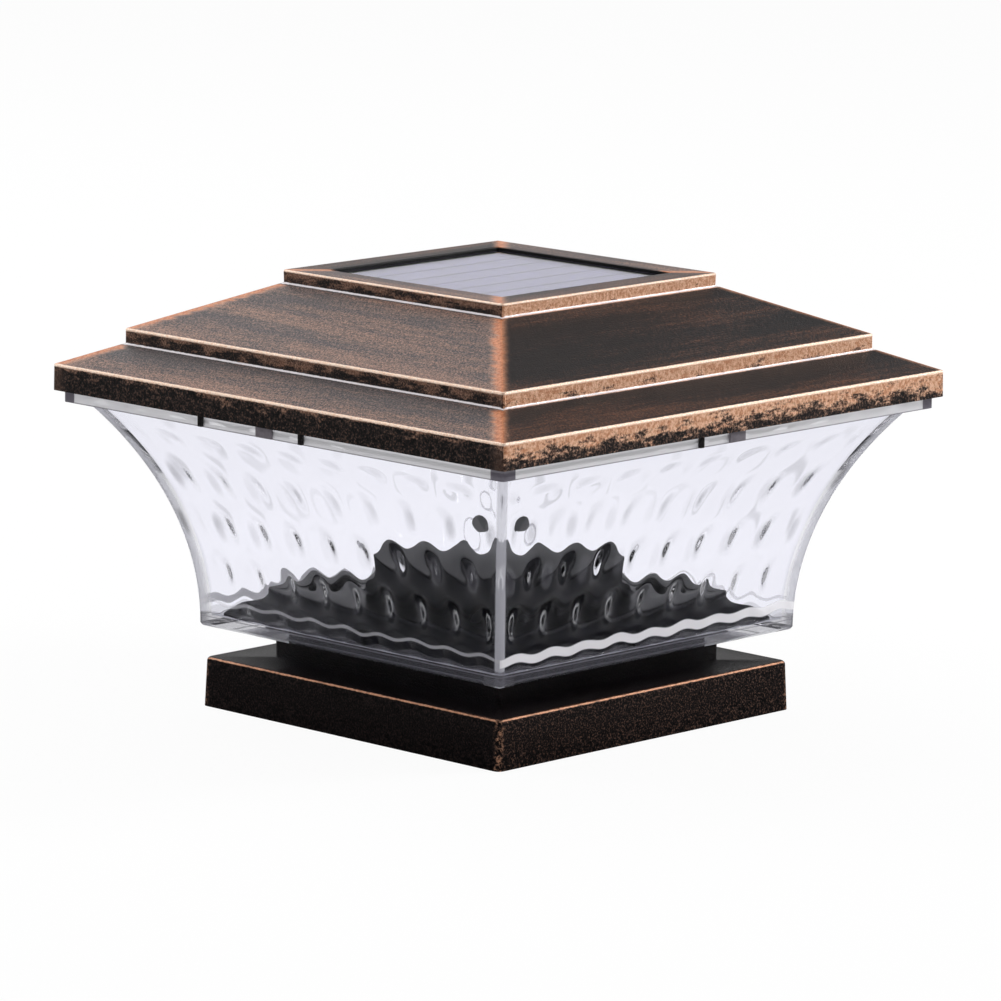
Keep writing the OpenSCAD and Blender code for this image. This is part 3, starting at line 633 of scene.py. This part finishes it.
refinish("inductor", plain_finish("enamelled winding", (140, 74, 36), (176, 98, 52), 0.35, metallic=0.6))
refinish("capacitor", plain_finish("dark blue sleeve", (20, 28, 66), (30, 40, 84), 0.3))
red_lead = plain_finish("red insulation", (150, 20, 20), (172, 32, 30), 0.4)
black_lead = plain_finish("black insulation", (14, 14, 15), (26, 26, 27), 0.4)
for wire in ("panel_lead", "battery_lead", "led_lead"):
    refinish(wire + "_red", red_lead)
    refinish(wire + "_black", black_lead)

# Roof shell
# A hollow stepped hip roof, moulded, sprayed black and dry-brushed with copper along its edges.
# Thin clip ribs under its rim grip the edge of the shade's flange, and a grey pad on each side
# keeps the two from rattling.
roof_low, roof_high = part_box("roof_shell")
rim_half = roof_high.x
roof_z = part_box("lamp_plate")[0].z
rim_z = roof_z + 6.2 * MM
brow_half = 63 * MM
crown_half = 36.5 * MM
roof_slope = radians(23.2)
brow_z = rim_z + (rim_half - brow_half) * tan(roof_slope)
brow_top_z = brow_z + 3.5 * MM
crown_z = brow_top_z + (brow_half - crown_half) * tan(roof_slope)
roof_top_z = roof_high.z - 0.6 * MM
pocket_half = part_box("panel_sealant")[1].x + 0.1 * MM
pocket_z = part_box("panel_board")[0].z
roof_wall = 2.2 * MM
roof_corner_r = 0.8 * MM
roof_edge_r = 0.5 * MM
roof_foot_r = 0.35 * MM

inside_drop = roof_wall * (1 - sin(roof_slope)) / cos(roof_slope)
ledge_half = pocket_half - 3 * MM
ledge_t = 2 * MM
tray_half = pocket_half + 2 * MM
roof_mesh = turned_square([
    (rim_half, roof_z), (rim_half, rim_z), (brow_half, brow_z), (brow_half, brow_top_z),
    (crown_half, crown_z), (crown_half, roof_top_z), (pocket_half, roof_top_z), (pocket_half, pocket_z),
    (ledge_half, pocket_z), (ledge_half, pocket_z - ledge_t), (tray_half, pocket_z - ledge_t),
    (tray_half, roof_top_z - roof_wall), (crown_half - roof_wall, roof_top_z - roof_wall),
    (crown_half - roof_wall, crown_z - inside_drop), (brow_half - roof_wall, brow_top_z - inside_drop),
    (brow_half - roof_wall, brow_z - inside_drop), (rim_half - roof_wall, rim_z - inside_drop),
    (rim_half - roof_wall, roof_z),
], closed=True)
outer_hips = hips(roof_mesh, lambda half, z: half > crown_half - 0.1 * MM and z > roof_z + 0.1 * MM)
round_edges(roof_mesh, [edge for edge in outer_hips if edge.is_convex], roof_corner_r, 4)


def level_edges(bm, heights, low_half, high_half):
    """Edges round the roof at one of the heights, between two half-sides."""
    return [
        edge for edge in bm.edges
        if any(all(abs(vert.co.z - z) < 0.01 * MM for vert in edge.verts) for z in heights)
        and low_half < max(abs(edge.verts[0].co.x), abs(edge.verts[0].co.y)) < high_half
        and not edge.is_wire and abs(edge.calc_face_angle(0)) > 0.1
    ]


outer_zone = (crown_half - 3 * MM, rim_half + 1 * MM)
pocket_zone = (0, pocket_half + 0.1 * MM)
band_tops = (rim_z, brow_top_z, roof_top_z)
round_edges(roof_mesh, level_edges(roof_mesh, band_tops, *outer_zone), roof_edge_r, 4)
round_edges(roof_mesh, level_edges(roof_mesh, (brow_z, crown_z), *outer_zone), roof_foot_r, 3)
round_edges(roof_mesh, level_edges(roof_mesh, (roof_top_z,), *pocket_zone), roof_foot_r, 2)


def add_box(bm, low, high, turn, edge):
    """A box from its low to its high corner, with eased edges, turned about the upright axis."""
    low, high = Vector(low), Vector(high)
    place = Matrix.Translation((low + high) / 2) @ Matrix.Diagonal((*(high - low), 1))
    made = bmesh.ops.create_cube(bm, size=1, matrix=Matrix.Rotation(turn, 4, "Z") @ place)
    round_edges(bm, list({edge for vert in made["verts"] for edge in vert.link_edges}), edge, 2)


clip_low = roof_low.z
clip_high = roof_z + 1 * MM
clip_in = 73.5 * MM
clip_edge_r = 0.15 * MM
rib_w = 1.3 * MM
rib_out = 0.9 * MM
rib_place = 9.1 * MM
front_rib_place = -24.5 * MM
pad_w = 5.2 * MM
pad_out = 0.7 * MM
pad_place = -3.2 * MM


def add_clip(bm, side, place, width, out):
    """A rib or pad under the rim, on a side counted in quarter turns from the front."""
    low = (place - width / 2, -clip_in - out, clip_low)
    high = (place + width / 2, -clip_in, clip_high)
    add_box(bm, low, high, side * pi / 2, clip_edge_r)


pads_mesh = bmesh.new()
for side in range(4):
    front_or_back = side % 2 == 0
    hand = 1 if front_or_back else -1
    add_clip(roof_mesh, side, hand * rib_place, rib_w, rib_out)
    add_clip(pads_mesh, side, hand * pad_place, pad_w, pad_out)
    if front_or_back:
        add_clip(roof_mesh, side, front_rib_place, rib_w, rib_out)

roof_finish = antique_copper(
    "antique copper on the roof",
    [
        (rim_half - 0.15 * MM, rim_z - 0.1 * MM, 0.55 * MM, 0.35),
        (brow_half - 0.15 * MM, brow_top_z - 0.1 * MM, 0.55 * MM, 0.5),
        (crown_half - 0.1 * MM, roof_top_z - 0.15 * MM, 0.5 * MM, 0.55),
    ],
    [(brow_half + 0.2 * MM, brow_z - 0.05 * MM), (crown_half + 0.2 * MM, crown_z - 0.05 * MM)],
    slopes=0.0,
    hip_reach=3 * MM,
    shine=1.0,
    clean_inside=pocket_half + 0.1 * MM,
    pocket_black=colour(5, 5, 7),
    clean_below=roof_z,
)
roof = finish_mesh("roof_moulding", mesh_from(roof_mesh, "roof_moulding"),
                   "roof", roof_finish)
level_shading(roof)
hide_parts("roof_shell")
finish_mesh("roof_pads", mesh_from(pads_mesh, "roof_pads"), "roof",
            plain_finish("grey plastic", (84, 78, 84), (132, 126, 134), 0.45))

# Solar panel
# Dark silicon strips on a board, cast over with clear resin and sealed into the crown's pocket.
refinish("panel_board", solder_mask)
refinish("solar_cells", plain_finish("silicon", (72, 68, 108), (84, 78, 122), 0.4))
refinish("panel_sealant", plain_finish("grey sealant", (40, 40, 43), (56, 56, 60), 0.6))


def resin(name):
    """Clear resin with a lavender cast that lets the cells show."""
    paint = Paint(name)
    paint.place()
    ripple = paint.noise(paint.point, 90, 2.0, 0.5)
    return paint.surface(
        Base_Color=paint.mix(ripple, (0.7, 0.69, 0.86, 1), (0.76, 0.75, 0.9, 1)),
        Roughness=0.08,
        IOR=1.18,
        Transmission_Weight=1.0,
        Normal=paint.bump(ripple, 0.1 * MM, 0.2),
    )


refinish("panel_resin", resin("clear resin"))

# Studio
# A pale floor that fades into a white backdrop, and soft lamps on both sides.
def shown(paint):
    """1 for rays that show the backdrop straight or through the shade, and 1 for mirrored rays."""
    direct = paint.node("ShaderNodeLightPath", output="Is Camera Ray")
    through = paint.node("ShaderNodeLightPath", output="Is Transmission Ray")
    return direct.larger(through), paint.node("ShaderNodeLightPath", output="Is Glossy Ray")


back_x = -sin(view_azimuth)
back_y = cos(view_azimuth)
floor_half = 12
floor_bm = bmesh.new()
bmesh.ops.create_grid(floor_bm, x_segments=1, y_segments=1, size=floor_half)
floor = bpy.data.objects.new("floor", mesh_from(floor_bm, "floor"))
bpy.context.scene.collection.objects.link(floor)
floor_paint = Paint("pale floor")
floor_x, floor_y, _ = floor_paint.place()
direct, mirrored = shown(floor_paint)
far_back = (floor_x * back_x + floor_y * back_y).ramp(0.1, 0.6, 0.04, 0.9)
card = floor_paint.node("ShaderNodeBsdfDiffuse", None, {"Color": (0.8, 0.8, 0.8, 1)})
glow = floor_paint.node("ShaderNodeEmission", None, {
    "Color": (1, 1, 1, 1),
    "Strength": direct.larger(mirrored * far_back),
})
share = (direct * 0.94).larger(mirrored)
blend = floor_paint.node("ShaderNodeMixShader", None, {0: share, 1: card, 2: glow})
floor_paint.node("ShaderNodeOutputMaterial", None, {"Surface": blend})
floor.data.materials.append(floor_paint.material)

world = bpy.data.worlds.new("studio")
bpy.context.scene.world = world
world.use_nodes = True
sky = Paint("sky")
bpy.data.materials.remove(sky.material)
sky.tree = world.node_tree
sky.tree.nodes.clear()
toward = sky.node("ShaderNodeTexCoord", output="Generated")
toward_x, toward_y, toward_z = [
    sky.node("ShaderNodeSeparateXYZ", None, {0: toward}, axis) for axis in range(3)
]
direct, mirrored = shown(sky)
backdrop = (toward_x * back_x + toward_y * back_y).ramp(0.3, 0.7) * toward_z.ramp(0.3, 0.5, 1, 0)
reflected = backdrop * 0.95 + 0.05
room = 0.55
level = room + mirrored * (reflected - room)
level = level + direct * (1 - level)
background = sky.node("ShaderNodeBackground", None, {"Color": (1, 1, 1, 1), "Strength": level})
sky.node("ShaderNodeOutputWorld", None, {"Surface": background})


lamp_aim = Vector((0, 0, 70 * MM))


def soft_lamp(name, toward, distance, size, power):
    """A square soft lamp that shines on the light from a direction."""
    data = bpy.data.lights.new(name, "AREA")
    data.shape = "SQUARE"
    data.size = size
    data.energy = power
    lamp = bpy.data.objects.new(name, data)
    lamp.rotation_mode = "QUATERNION"
    direction = Vector(toward).normalized()
    lamp.location = lamp_aim + direction * distance
    lamp.rotation_quaternion = direction.to_track_quat("Z", "Y")
    bpy.context.scene.collection.objects.link(lamp)


soft_lamp("left back lamp", (-0.69, 0.12, 0.71), distance=1.3, size=1.1, power=8)
soft_lamp("left strip lamp", (-0.69, -0.38, 0.62), distance=1.3, size=0.3, power=3)
soft_lamp("right back lamp", (0.47, 0.7, 0.54), distance=1.2, size=0.42, power=9)

bpy.context.scene.view_settings.view_transform = "Standard"
